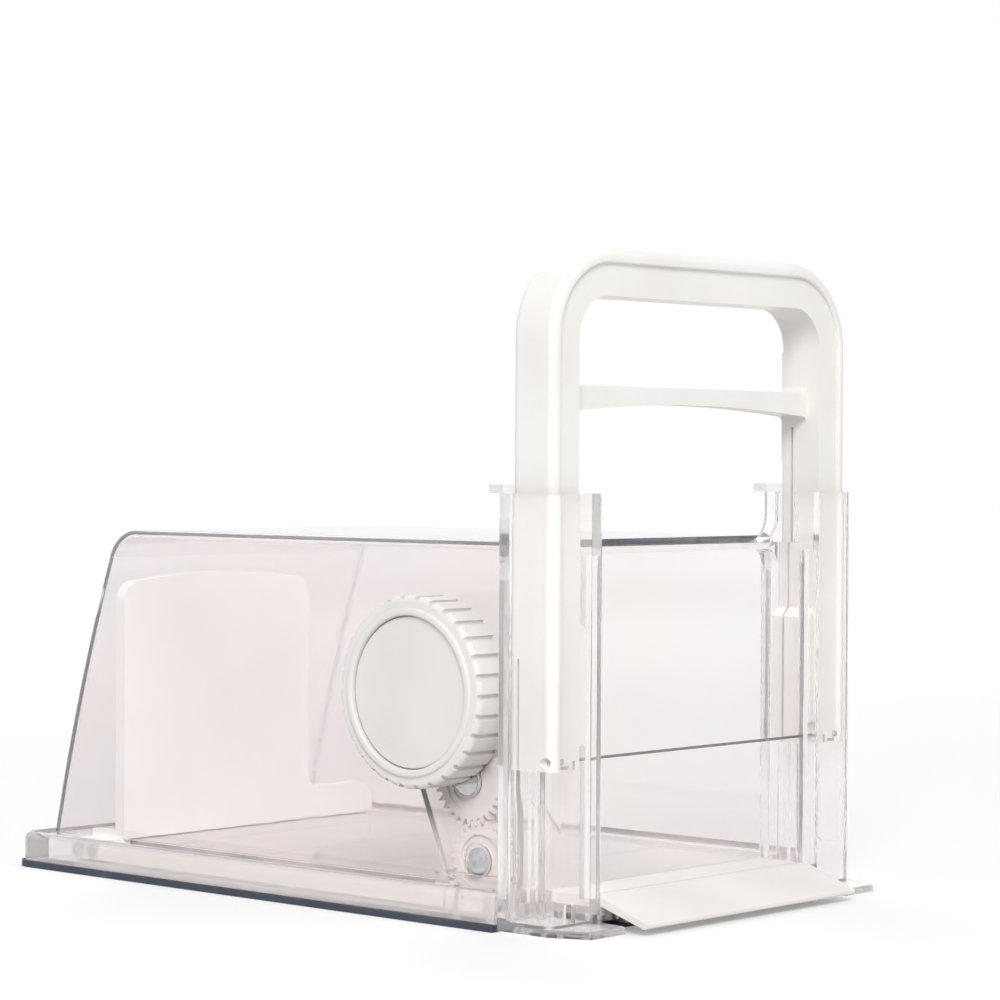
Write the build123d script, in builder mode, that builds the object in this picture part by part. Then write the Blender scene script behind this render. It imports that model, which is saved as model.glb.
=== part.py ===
from build123d import *
import os
from math import acos, atan2, cos, degrees, pi, radians, sin, sqrt, tan

# Wire slicer for a block of butter or cheese. Millimetres, +Z up, feed direction +X.
# The origin is on the table, in the middle plane, straight below the cutting wire.
# The knob side is -Y. Values called half, in or out are distances from the middle plane.

# ---- Cutting handle and wire -------------------------------------------------
leg_span = 134.0          # across the outer faces of the two legs
leg_depth = 15.0          # leg, front to back
leg_width = 12.0          # leg above its shoe, across
shoe_width = 14.5         # sliding shoe at the leg's lower end, across
shoe_height = 40.0
leg_front = 2.4           # front face ahead of the wire
leg_bottom = 44.4         # lower end at rest
handle_top = 186.0
arch_thickness = 13.0
arch_radius = 25.0
opening_radius = 12.0
outer_edge = 2.5          # rounding of the handle's outer edges
inner_edge = 1.0
rim_side = 3.4            # proud rim round the front of the arch and down the legs
rim_top = 4.0
rim_step = 1.2
rim_edge = 0.6
crossbar_top = 148.5
crossbar_ends = 141.2     # underside where it meets the legs
crossbar_rise = 2.6       # arch of the underside
crossbar_depth = 9.2
crossbar_fillet = 1.8
handle_up = 45.0          # travel above rest
handle_down = 37.0        # travel below rest, down to the board
wire_z = 46.8
wire_radius = 0.4
wire_gap = 0.15           # wire in its bores
ferrule_radius = 1.3
ferrule_length = 4.0
ferrule_inset = 1.5       # end of the ferrule below the leg's outer face
set_screw_radius = 1.25
set_screw_setback = 9.7   # from the leg's outer face
slit_back = 3.4           # thickness of the snap finger behind its slit
slit_width = 0.9
slit_height = 30.0
groove_in_leg = 1.2       # the slit's line goes on up the leg's inner face as a groove
groove_end = 3.0          # below the crossbar
wire_notch_back = 2.0     # notch in each shoe that bares the wire up to the leg
wire_notch_top = 4.0
barb_height = 6.0
barb_reach = 0.9
barb_width = 5.0

# ---- Guide frame -------------------------------------------------------------
leg_gap = 0.35            # running clearance round a leg
wall_front = 1.35
wall_rear = 2.05
wall_outer = 2.65
wall_inner = 3.65
column_top = 119.0
column_front_edge = 5.0   # rounding of the column's outer corners
column_rear_edge = 1.5
channel_edge = 2.6
frame_foot = 0.6          # gap between the column's foot and the table
channel_floor = 3.2
bridge_seat = 104.1       # top of the bridge, where the crossbar stops
bridge_thickness = 2.0
bridge_depth = 6.0
bridge_fillet = 5.0
notch_setback = 13.0      # opening above the bridge for the crossbar, from the legs' outer faces
notch_radius = 8.0
lip_depth = 3.0
lip_thickness = 2.0
lip_top = 121.4
wire_slot = 1.8
slot_top = 102.0
slot_below = 0.6          # slot below the lowest wire
groove_depth = 1.15
groove_side = 0.5
stop_gap = 0.1            # beyond the barb and the crossbar at their stops
panel_depth = 0.8         # recessed panel in the column's outer face
panel_width = 8.4
panel_bottom = 13.7
panel_top = 36.5
panel_radius = 2.0
toe_length = 11.0
toe_height = 2.6
toe_taper = 5.0
toe_inner_taper = 1.5
toe_corner = 1.5
toe_edge = 0.8
tab_reach = 10.5
tab_rear = 2.0            # tab behind which the column starts
tab_length = 15.0
tab_bottom = 2.2
tab_thickness = 2.2

# ---- Tray, mat and board -----------------------------------------------------
tray_rear = -216.5
mat_thickness = 1.2
mat_lip = 1.2
mat_lip_top = 2.0
mat_flange = 1.0          # mat beyond the tray, behind it and at its sides
mat_gap = 0.1
rim_height = 10.8
rim_wall = 2.5
rear_wall = 1.5
rim_rounding = 2.3
seat_top = 9.9            # ledge that carries the hood
seat_thickness = 2.0
deck_top = 9.5
deck_thickness = 2.2
deck_setback = 6.5        # deck inside the hood's outer face
deck_side = 1.8
channel_bottom = 3.2      # floor of the two side channels
rack_channel_wall = 3.0
ear_channel_setback = 1.9 # far channel's wall inside the hood's outer face
rear_seat = 12.0          # length of the hood's rear ledge
tray_corner = 6.0
nose_front = 4.3
nose_top = 6.6
rib_thickness = 1.6
rib_count = 5
part_gap = 0.2            # between neighbouring pieces of the base
board_slope_start = 3.0
board_front = 20.0
board_edge = 0.5
board_front_top = 3.4
board_front_bottom = 2.0
wire_groove = 1.6
wire_groove_depth = 0.8

# ---- Hood --------------------------------------------------------------------
hood_setback = 9.5        # hood inside the legs' outer faces
hood_wall = 2.0
hood_top = 105.8
hood_gap = 0.3            # hood beside what holds it
hood_seat_gap = 0.2
hood_lean = 16.6          # degrees that the rear wall leans forward
hood_bow = 1.9            # rear wall's bulge
hood_rear_radius = 12.0
hood_edge = 3.0
hood_front_gap = 0.4

# ---- Gear train and rack -----------------------------------------------------
module = 0.8
pressure_angle = 20.0
lower_teeth = 26
upper_teeth = 30
drive_teeth = 36
tooth_thinning = 0.14     # taken off each tooth's thickness as backlash
dedendum = 1.25           # in modules
gear_face = 2.8
rack_pitch_z = 7.4
rack_back = 2.6           # rack thickness below the tooth roots
rack_face = 3.0
rack_front = -19.0
lower_idler_x = -26.8
upper_idler_x = -31.2
knob_x = -41.8
pin_radius = 2.0
bore_gap = 0.08           # gears on their pins and journals in their bores
hub_radius = 4.4
gear_recess = 0.6
gear_rim = 2.2

# ---- Gear housing ------------------------------------------------------------
housing_gap = 0.4         # hood to housing
plate_thickness = 1.4
cover_thickness = 1.4
gear_side_gap = 0.2
gear_tip_gap = 0.7
housing_wall = 1.2
housing_bottom = 14.0
block_step = 10.2         # the rack guide is shorter below this height
block_rear_low = -36.0
block_rear_high = -40.2
guide_gap = 0.4           # over, under and beside the rack
block_foot = 1.6          # foot of the rack guide, inside the hood's outer face
upper_head_radius = 4.2
lower_head_radius = 3.5
ring_offset = 1.2         # ring groove outside each pin's head
ring_width = 0.5
ring_depth = 0.4
pin_head = 0.7
head_gap = 0.15
ear_radius = 2.7
ear_offset = 1.0
cover_ear_angles = (15.0, 100.0, 190.0)

# ---- Knob --------------------------------------------------------------------
knob_radius = 26.6
knob_depth = 12.0
knob_gap = 0.4            # cover to knob
knob_lobes = 30
lobe_notch = 0.9          # radius of each groove between two lobes
lobe_depth = 1.3
knob_front_edge = 1.6
bead_width = 2.2          # bead round the cap
bead_height = 0.8
bead_edge = 0.75
knob_wall = 3.3
cap_radius = 21.0
cap_gap = 0.2
cap_inset = 0.5           # cap's face below the knob's front
cap_thickness = 1.6
cap_edge = 0.5
screw_space = 1.6         # for the knob screw's head, behind the cap
web_thickness = 2.0
boss_radius = 7.0
journal_front = 3.5
journal_rear = 2.5
flat_depth = 0.8
shaft_end_gap = 0.3

# ---- Pusher ------------------------------------------------------------------
pusher_front = -182.2
pusher_thickness = 4.0
pusher_gap = 0.6          # beside the hood's walls and the deck
pusher_width = 80.0       # plate on the rack's side, above a foot as wide as the deck
pusher_top = 92.0
pusher_rise = 3.0         # arch of the plate's top
pusher_corner = 6.0
foot_bar_top = 20.0
foot_bar_corner = 5.0
pusher_lift = 0.3         # above the deck
ear_setback = 1.8         # ears and foot behind the pusher's front face
ear_length = 13.0
ear_top = 12.0
foot_top = 9.7
foot_bottom = 3.8
pad_length = 14.0
pad_corner = 1.5
gusset_length = 8.0
gusset_height = 58.0
gusset_thickness = 2.0
gusset_spacing = 40.0

# ---- Fasteners ---------------------------------------------------------------
screw_radius = 1.2
screw_head = 2.3
screw_head_height = 0.8
small_screw_radius = 1.0
small_screw_head = 1.8
screw_gap = 0.1           # round a screw in a clearance hole
fit_gap = 0.04            # round a screw or pin in the piece that holds it
knob_screw_length = 8.0
base_screw_x = (-10.0, -1.5)
base_screw_setback = 4.8  # from the nose's side
base_screw_tip = 6.2
housing_screw_x = (-20.0, -32.0)
housing_screw_tip = 9.0
rack_screw_setback = (3.5, 10.0)
rack_screw_z = 6.8
rack_screw_length = 5.0

# ---- Places worked out from the sizes above ----------------------------------
leg_rear = leg_front - leg_depth
leg_out = leg_span / 2
leg_in = leg_out - leg_width
set_screw_y = leg_out - set_screw_setback
shoe_in = leg_out - shoe_width
shoe_top = leg_bottom + shoe_height
slit_x = leg_rear + slit_back + slit_width / 2
barb_y = (leg_out + shoe_in) / 2
channel_front = leg_front + leg_gap
channel_rear = leg_rear - leg_gap
channel_out = leg_out + leg_gap
channel_in = shoe_in - leg_gap
column_front = channel_front + wall_front
column_rear = channel_rear - wall_rear
column_out = channel_out + wall_outer
column_in = channel_in - wall_inner
notch_half = leg_out - notch_setback
crossbar_front = leg_rear + crossbar_depth
bridge_bottom = bridge_seat - bridge_thickness
lip_rear = column_rear - lip_depth
tab_front = column_rear + tab_rear + tab_length
tab_top = tab_bottom + tab_thickness

tray_front = column_rear - part_gap
tray_half = column_out
hood_half = leg_out - hood_setback
deck_half = hood_half - deck_setback
ear_channel_half = hood_half - ear_channel_setback
tray_bottom = mat_thickness + mat_gap
rack_channel_half = tray_half - rack_channel_wall
nose_half = column_in - part_gap
base_screw_y = nose_half - base_screw_setback
deck_bottom = deck_top - deck_thickness
rear_seat_front = tray_rear + rear_wall + rear_seat
hood_front = lip_rear - hood_front_gap
hood_foot = tray_rear + rear_wall + hood_gap
hood_bottom = seat_top + hood_seat_gap

pitch_lower = module * lower_teeth / 2
pitch_upper = module * upper_teeth / 2
pitch_drive = module * drive_teeth / 2
rack_tip_z = rack_pitch_z + module
rack_root_z = rack_pitch_z - dedendum * module
rack_bottom_z = rack_root_z - rack_back
tooth_step = pi * module
lower_idler_z = rack_pitch_z + pitch_lower
upper_idler_z = lower_idler_z + sqrt((pitch_lower + pitch_upper) ** 2
                                     - (lower_idler_x - upper_idler_x) ** 2)
knob_z = upper_idler_z + sqrt((pitch_upper + pitch_drive) ** 2 - (upper_idler_x - knob_x) ** 2)
gear_train = [
    (lower_idler_x, lower_idler_z, pitch_lower + module),
    (upper_idler_x, upper_idler_z, pitch_upper + module),
    (knob_x, knob_z, pitch_drive + module),
]

plate_in = hood_half + housing_gap
plate_out = plate_in + plate_thickness
gear_in = plate_out + gear_side_gap
gear_out = gear_in + gear_face
cover_in = gear_out + gear_side_gap
cover_out = cover_in + cover_thickness
pin_head_in = cover_out - pin_head
knob_in = cover_out + knob_gap
knob_out = knob_in + knob_depth
cap_out = knob_out - cap_inset
cap_in = cap_out - cap_thickness
web_out = cap_in - screw_space
web_in = web_out - web_thickness
shaft_out = web_in - shaft_end_gap
rack_in = (gear_in + gear_out - rack_face) / 2
rack_out = rack_in + rack_face
guide_in = rack_in - guide_gap
guide_out = rack_out + guide_gap
guide_top = rack_tip_z + guide_gap
guide_bottom = rack_bottom_z - guide_gap
block_out = rack_channel_half - part_gap
block_inner = hood_half - block_foot
relief_top = guide_top + handle_down
ferrule_out = leg_out - ferrule_inset
ferrule_in = ferrule_out - ferrule_length

pusher_half = hood_half - hood_wall - pusher_gap
pusher_far = pusher_width - pusher_half
pusher_middle = (pusher_far - pusher_half) / 2
pusher_rear = pusher_front - pusher_thickness
pusher_bottom = deck_top + pusher_lift
ear_front = pusher_front - ear_setback
ear_rear = ear_front - ear_length
ear_in = deck_half + pusher_gap
pad_rear = ear_front - pad_length


def side_plane(distance):
    """Plane on the knob's side: local x is the feed direction, local y is up, the normal points outward."""
    return Plane((0, -distance, 0), x_dir=(1, 0, 0), z_dir=(0, -1, 0))


def span(x0, x1, y0, y1, mode=Mode.ADD):
    """Rectangle between two corners, in the sketch in hand."""
    with Locations(((x0 + x1) / 2, (y0 + y1) / 2)):
        Rectangle(abs(x1 - x0), abs(y1 - y0), mode=mode)


def both_sides(x0, x1, y0, y1, mode=Mode.ADD):
    """The same rectangle on both sides of the middle plane, seen from above."""
    span(x0, x1, y0, y1, mode)
    span(x0, x1, -y1, -y0, mode)


def rounded_rear(sketch, x0, x1, half, radius):
    """Plan outline from x0 to x1 with rounded corners at its rear."""
    span(x0, x1, -half, half)
    fillet(sketch.vertices().group_by(Axis.X)[0], radius=radius)


def involute(angle):
    return tan(angle) - angle


def gear_outline(teeth, first_tooth):
    """Corners of a spur gear: root, base, pitch and tip points on both flanks of each tooth."""
    pitch_radius = module * teeth / 2
    base_radius = pitch_radius * cos(radians(pressure_angle))
    half_at_pitch = (tooth_step / 2 - tooth_thinning) / 2 / pitch_radius
    flank = []
    for radius in (pitch_radius + module, pitch_radius, base_radius):
        turned = involute(radians(pressure_angle)) - involute(acos(base_radius / radius))
        flank.append((radius, half_at_pitch + turned))
    flank.append((pitch_radius - dedendum * module, flank[-1][1]))
    points = []
    for tooth in range(teeth):
        middle = radians(first_tooth) + 2 * pi * tooth / teeth
        for radius, half in reversed(flank):
            points.append((radius * cos(middle - half), radius * sin(middle - half)))
        for radius, half in flank:
            points.append((radius * cos(middle + half), radius * sin(middle + half)))
    return points


def meshing_tooth(teeth, driver_teeth, driver_tooth, direction):
    """Angle of one tooth of a gear that meets its driver in this direction, seen from the driver."""
    driver_offset = driver_teeth * (driver_tooth - direction)
    return direction + 180.0 + (180.0 - driver_offset) / teeth


def train_hull(sketch, margin):
    """Hull round the three gears, in front view of the gears, cut off at the column and above the base."""
    for x, z, radius in gear_train:
        with Locations((x, z)):
            Circle(radius + margin)
    make_hull(sketch.edges())
    span(column_rear - part_gap, column_rear + 2 * pitch_drive, 0, 2 * knob_z, mode=Mode.SUBTRACT)
    span(-2 * pitch_drive + upper_idler_x, 0, 0, housing_bottom, mode=Mode.SUBTRACT)


upper_tooth = 90.0
way_down = degrees(atan2(lower_idler_z - upper_idler_z, lower_idler_x - upper_idler_x))
way_up = degrees(atan2(knob_z - upper_idler_z, knob_x - upper_idler_x))
lower_tooth = meshing_tooth(lower_teeth, upper_teeth, upper_tooth, way_down)
drive_tooth = meshing_tooth(drive_teeth, upper_teeth, upper_tooth, way_up)
rack_tooth_x = lower_idler_x + pitch_lower * radians(lower_tooth + 90.0) + tooth_step / 2
ear_spots = [
    (knob_x + (pitch_drive + module + ear_radius + ear_offset) * cos(radians(angle)),
     knob_z + (pitch_drive + module + ear_radius + ear_offset) * sin(radians(angle)))
    for angle in cover_ear_angles
]

# ---- Foot mat: rubber sole with a lip round the tray's step ------------------
mat_rear = tray_rear - mat_flange
mat_half = tray_half + mat_flange
mat_corner = tray_corner + mat_flange
with BuildPart() as foot_mat:
    with BuildSketch() as mat_plan:
        rounded_rear(mat_plan, mat_rear, tray_front, mat_half, mat_corner)
        span(tray_front - mat_lip, nose_front, -nose_half, nose_half)
    extrude(amount=mat_thickness)
    with BuildSketch() as mat_edge:
        rounded_rear(mat_edge, mat_rear, tray_front, mat_half, mat_corner)
        span(tray_rear + mat_lip, tray_front, -tray_half + mat_lip, tray_half - mat_lip, mode=Mode.SUBTRACT)
    extrude(amount=mat_lip_top)

# ---- Base tray: deck, two side channels, hood ledges, and a nose between the columns
step = mat_lip + mat_gap
with BuildPart() as base_tray:
    with BuildSketch(Plane.XY.offset(tray_bottom)) as tray_step:
        rounded_rear(tray_step, tray_rear + step, tray_front, tray_half - step, tray_corner - step)
    extrude(amount=mat_lip_top - tray_bottom)
    with BuildSketch(Plane.XY.offset(mat_lip_top)) as tray_plan:
        rounded_rear(tray_plan, tray_rear, tray_front, tray_half, tray_corner)
    extrude(amount=rim_height - mat_lip_top)
    fillet(base_tray.edges().group_by(Axis.Z)[-1].filter_by(lambda e: e.center().X < tray_front - rim_wall),
           radius=rim_rounding)
    # Inside the rim: the hood ledges all round, then the deck, then the two channels
    with BuildSketch(Plane.XY.offset(rim_height)) as ledges:
        rounded_rear(ledges, tray_rear + rear_wall, tray_front, tray_half - rim_wall, tray_corner - rim_wall)
    extrude(amount=seat_top - rim_height, mode=Mode.SUBTRACT)
    with BuildSketch(Plane.XY.offset(rim_height)) as deck_area:
        span(rear_seat_front, tray_front, -rack_channel_half, ear_channel_half)
    extrude(amount=deck_top - rim_height, mode=Mode.SUBTRACT)
    with BuildSketch(Plane.XY.offset(rim_height)) as channels:
        span(rear_seat_front, tray_front, -rack_channel_half, -deck_half)
        span(rear_seat_front, tray_front, deck_half, ear_channel_half)
    extrude(amount=channel_bottom - rim_height, mode=Mode.SUBTRACT)
    # Hollows under the deck and under the ledge beside it, with ribs left between them
    with BuildSketch(Plane.XY.offset(tray_bottom)) as hollows:
        bay = (tray_front - rear_seat_front - rib_thickness) / rib_count
        for number in range(rib_count):
            start = rear_seat_front + rib_thickness + number * bay
            span(start, start + bay - rib_thickness, -deck_half + deck_side, deck_half - deck_side)
    extrude(amount=deck_bottom - tray_bottom, mode=Mode.SUBTRACT)
    with BuildSketch(Plane.XY.offset(tray_bottom)) as ledge_hollow:
        for number in range(rib_count):
            start = rear_seat_front + rib_thickness + number * bay
            span(start, start + bay - rib_thickness, ear_channel_half + rib_thickness,
                 tray_half - rim_wall - step)
    extrude(amount=seat_top - seat_thickness - tray_bottom, mode=Mode.SUBTRACT)
    # Nose under the cutting board, with a pocket over each tab of the guide frame
    with BuildSketch(Plane.XY.offset(tray_bottom)) as nose:
        span(tray_front - rib_thickness, nose_front, -nose_half, nose_half)
    extrude(amount=nose_top - tray_bottom)
    with BuildSketch(Plane.XY.offset(tray_bottom)) as tab_pockets:
        both_sides(column_rear + tab_rear - part_gap, nose_front, column_in - tab_reach - part_gap, nose_half)
    extrude(amount=tab_top - tray_bottom, mode=Mode.SUBTRACT)
    with Locations([(x, y, tab_top) for x in base_screw_x for y in (-base_screw_y, base_screw_y)]):
        Cylinder(screw_radius + fit_gap, base_screw_tip - tab_top + screw_gap,
                 align=(Align.CENTER, Align.CENTER, Align.MIN), mode=Mode.SUBTRACT)
    # Screw holes up into the rack guide, with their heads sunk in the channel's floor
    block_screw_y = (block_out + guide_out) / 2
    with Locations([(x, -block_screw_y, tray_bottom) for x in housing_screw_x]):
        Cylinder(small_screw_head + screw_gap, screw_head_height + screw_gap,
                 align=(Align.CENTER, Align.CENTER, Align.MIN), mode=Mode.SUBTRACT)
        Cylinder(small_screw_radius + screw_gap, channel_bottom - tray_bottom,
                 align=(Align.CENTER, Align.CENTER, Align.MIN), mode=Mode.SUBTRACT)

# ---- Cutting board: a flat landing for the wire and a ramp down to the plate -
with BuildPart() as cutting_board:
    with BuildSketch(side_plane(-nose_half + part_gap)) as board_side:
        with BuildLine():
            Polyline((column_rear, nose_top), (nose_front + part_gap, nose_top),
                     (board_front - board_front_bottom / 2, board_front_bottom),
                     (board_front, board_front_bottom), (board_front, board_front_top),
                     (board_slope_start, deck_top), (column_rear, deck_top), close=True)
        make_face()
        fillet(board_side.vertices().group_by(Axis.X)[-1], radius=board_edge)
    extrude(amount=2 * (nose_half - part_gap))
    with BuildSketch(side_plane(-nose_half)) as groove:
        span(-wire_groove / 2, wire_groove / 2, deck_top - wire_groove_depth, deck_top)
    extrude(amount=2 * nose_half, mode=Mode.SUBTRACT)

# ---- Guide frame: two channelled columns, the bridge, its lip, toes and tabs --
with BuildPart() as guide_frame:
    with BuildSketch(Plane.XY.offset(frame_foot)) as column_plan:
        span(column_rear, column_front, -column_out, -column_in)
        fillet(column_plan.vertices().group_by(Axis.X)[0].sort_by(Axis.Y)[0], radius=column_rear_edge)
        fillet(column_plan.vertices().group_by(Axis.X)[-1].sort_by(Axis.Y)[0], radius=column_front_edge)
    extrude(amount=column_top - frame_foot)
    with BuildSketch(Plane.XY.offset(channel_floor)) as leg_channel:
        span(channel_rear, channel_front, -channel_out, -channel_in)
        fillet(leg_channel.vertices().group_by(Axis.Y)[0], radius=channel_edge)
    extrude(amount=column_top - channel_floor, mode=Mode.SUBTRACT)
    with BuildSketch(side_plane(column_out)) as side_panel:
        with Locations((leg_rear + leg_depth / 2, (panel_bottom + panel_top) / 2)):
            RectangleRounded(panel_width, panel_top - panel_bottom, panel_radius)
    extrude(amount=-panel_depth, mode=Mode.SUBTRACT)
    # Groove for the snap finger's barb: its upper end is the handle's upper stop
    with BuildSketch(Plane.YZ.offset(channel_rear - groove_depth)) as barb_groove:
        span(-barb_y - barb_width / 2 - groove_side, -barb_y + barb_width / 2 + groove_side,
             leg_bottom - handle_down - groove_side, leg_bottom + barb_height + handle_up + stop_gap)
    extrude(amount=groove_depth, mode=Mode.SUBTRACT)
    with BuildSketch(Plane.YZ.offset(-wire_slot / 2)) as wire_slots:
        span(-channel_in, -column_in, wire_z - handle_down - wire_radius - slot_below, slot_top)
    extrude(amount=wire_slot, mode=Mode.SUBTRACT)
    # Toe in front of the column, and the tab that is screwed to the tray
    with BuildSketch(Plane.XY.offset(frame_foot)) as toe:
        with BuildLine():
            Polyline((column_front - column_front_edge, -column_out), (column_front, -column_out),
                     (column_front + toe_length, -column_out + toe_taper),
                     (column_front + toe_length, -column_in - toe_inner_taper), (column_front, -column_in),
                     (column_front - column_front_edge, -column_in), close=True)
        make_face()
        fillet(toe.vertices().group_by(Axis.X)[-1], radius=toe_corner)
    extrude(amount=toe_height - frame_foot)
    fillet(guide_frame.faces().filter_by(lambda f: abs(f.center().Z - toe_height) < toe_edge / 10)
           .edges().filter_by(lambda e: e.center().X > column_front + toe_edge), radius=toe_edge)
    with BuildSketch(Plane.XY.offset(tab_bottom)) as tab:
        span(column_rear + tab_rear, tab_front, -column_in, -column_in + tab_reach)
    extrude(amount=tab_thickness)
    with Locations([(x, -base_screw_y, tab_bottom) for x in base_screw_x]):
        Cylinder(screw_radius + screw_gap, tab_thickness,
                 align=(Align.CENTER, Align.CENTER, Align.MIN), mode=Mode.SUBTRACT)
    mirror(about=Plane.XZ)
    # Bridge with rounded corners below it
    with BuildSketch(Plane.YZ.offset(column_rear)) as bridge:
        span(-channel_in, channel_in, bridge_bottom - bridge_fillet, bridge_seat)
    extrude(amount=bridge_depth)
    with BuildSketch(Plane.YZ.offset(column_rear)) as under_bridge:
        span(-column_in, column_in, bridge_bottom - 2 * bridge_fillet, bridge_bottom)
        fillet(under_bridge.vertices().group_by(Axis.Y)[-1], radius=bridge_fillet)
    extrude(amount=bridge_depth, mode=Mode.SUBTRACT)
    # Lip behind the notch over the bridge: along the bridge, up its corners and over the columns
    with BuildSketch(Plane.YZ.offset(lip_rear)) as lip:
        span(-notch_half - lip_thickness, notch_half + lip_thickness, bridge_bottom, lip_top)
        fillet(lip.vertices().group_by(Axis.Y)[0], radius=notch_radius + lip_thickness)
        span(-column_out, column_out, column_top, lip_top)
    extrude(amount=channel_rear - lip_rear)
    with BuildSketch(Plane.YZ.offset(lip_rear)) as notch:
        span(-notch_half, notch_half, bridge_seat, column_top)
        fillet(notch.vertices().group_by(Axis.Y)[0], radius=notch_radius)
        span(-column_in, column_in, column_top - notch_radius, lip_top)
    extrude(amount=channel_rear - lip_rear, mode=Mode.SUBTRACT)
    with BuildSketch(Plane.YZ.offset(channel_rear)) as crossbar_way:
        span(-notch_half, notch_half, bridge_seat, column_top)
    extrude(amount=crossbar_front + leg_gap - channel_rear, mode=Mode.SUBTRACT)
    # Tunnel for the rack, on the knob's side only
    with BuildSketch(Plane.YZ.offset(column_rear)) as tunnel:
        span(-guide_out, -guide_in, guide_bottom, guide_top)
    extrude(amount=column_front + toe_length - column_rear, mode=Mode.SUBTRACT)

# ---- Hood: open below and in front, its rear wall bowed and leaning forward ---
def hood_outline(sketch, inset):
    """Side view of the hood, or of the room inside it, which goes on past both open ends."""
    angle = radians(hood_lean)
    lean = (hood_top - hood_bottom) * tan(angle)
    rear_foot = (hood_foot + inset * cos(angle), hood_bottom - inset * sin(angle))
    rear_head = (rear_foot[0] + lean, rear_foot[1] + hood_top - hood_bottom)
    rear_middle = ((rear_foot[0] + rear_head[0]) / 2 - hood_bow * cos(angle),
                   (rear_foot[1] + rear_head[1]) / 2 + hood_bow * sin(angle))
    with BuildLine(mode=Mode.PRIVATE) as outline:
        ThreePointArc(rear_foot, rear_middle, rear_head)
        Polyline(rear_head, (hood_front + inset, rear_head[1]), (hood_front + inset, rear_foot[1]), rear_foot)
    make_face(outline.edges())
    if inset:
        span(hood_foot, hood_front + inset, hood_top - inset, hood_top, mode=Mode.SUBTRACT)
    fillet(sketch.vertices().group_by(Axis.Y)[-1].sort_by(Axis.X)[0], radius=hood_rear_radius - inset)


def hood_side_edges(shell):
    """Edges between the side walls and the rear wall or the top."""
    return shell.faces().filter_by(Axis.Y).edges().filter_by(
        lambda e: e.center().Z > hood_bottom + hood_edge and e.center().X < hood_front - hood_edge)


with BuildPart() as hood_inside:
    with BuildSketch(side_plane(-hood_half + hood_wall)) as room_side:
        hood_outline(room_side, hood_wall)
    extrude(amount=2 * (hood_half - hood_wall))
    fillet(hood_side_edges(hood_inside), radius=hood_edge - hood_wall)

with BuildPart() as hood:
    with BuildSketch(side_plane(-hood_half)) as hood_side:
        hood_outline(hood_side, 0)
    extrude(amount=2 * hood_half)
    fillet(hood_side_edges(hood), radius=hood_edge)
    add(hood_inside.part, mode=Mode.SUBTRACT)

# ---- Gear housing: back plate with a rim wall, standing on a guide that the rack runs through
with BuildPart() as gear_housing:
    with BuildSketch(side_plane(plate_in)) as back_plate:
        train_hull(back_plate, gear_tip_gap + housing_wall)
        with Locations(ear_spots):
            Circle(ear_radius)
    extrude(amount=cover_in - plate_in)
    with BuildSketch(side_plane(plate_out)) as gear_room:
        train_hull(gear_room, gear_tip_gap)
        with Locations(ear_spots):
            Circle(ear_radius, mode=Mode.SUBTRACT)
    extrude(amount=cover_in - plate_out, mode=Mode.SUBTRACT)
    # Rack guide: a bridge over the rack, longer in its upper part
    with BuildSketch(side_plane(plate_in)) as guide_block:
        with BuildLine():
            Polyline((column_rear - part_gap, channel_bottom), (block_rear_low, channel_bottom),
                     (block_rear_low, block_step), (block_rear_high, block_step),
                     (block_rear_high, housing_bottom), (column_rear - part_gap, housing_bottom), close=True)
        make_face()
    extrude(amount=block_out - plate_in)
    with BuildSketch(side_plane(block_inner)) as inner_foot:
        span(block_rear_low, column_rear - part_gap, channel_bottom, seat_top)
    extrude(amount=plate_in - block_inner)
    with BuildSketch(side_plane(guide_in)) as rack_way:
        span(block_rear_low, column_rear - part_gap, channel_bottom, guide_top)
    extrude(amount=guide_out - guide_in, mode=Mode.SUBTRACT)
    with BuildSketch(side_plane(plate_out)) as gear_slot:
        with Locations((lower_idler_x, lower_idler_z)):
            Circle(pitch_lower + module + gear_tip_gap)
    extrude(amount=cover_in - plate_out, mode=Mode.SUBTRACT)
    with BuildSketch(side_plane(plate_in)) as back_bores:
        for x, z, radius in gear_train[:2]:
            with Locations((x, z)):
                Circle(pin_radius + fit_gap)
        with Locations((knob_x, knob_z)):
            Circle(journal_rear + bore_gap)
        with Locations(ear_spots):
            Circle(screw_radius + fit_gap)
    extrude(amount=cover_in - plate_in, mode=Mode.SUBTRACT)
    with Locations([(x, -block_screw_y, channel_bottom) for x in housing_screw_x]):
        Cylinder(small_screw_radius + fit_gap, housing_screw_tip - channel_bottom + screw_gap,
                 align=(Align.CENTER, Align.CENTER, Align.MIN), mode=Mode.SUBTRACT)

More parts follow.
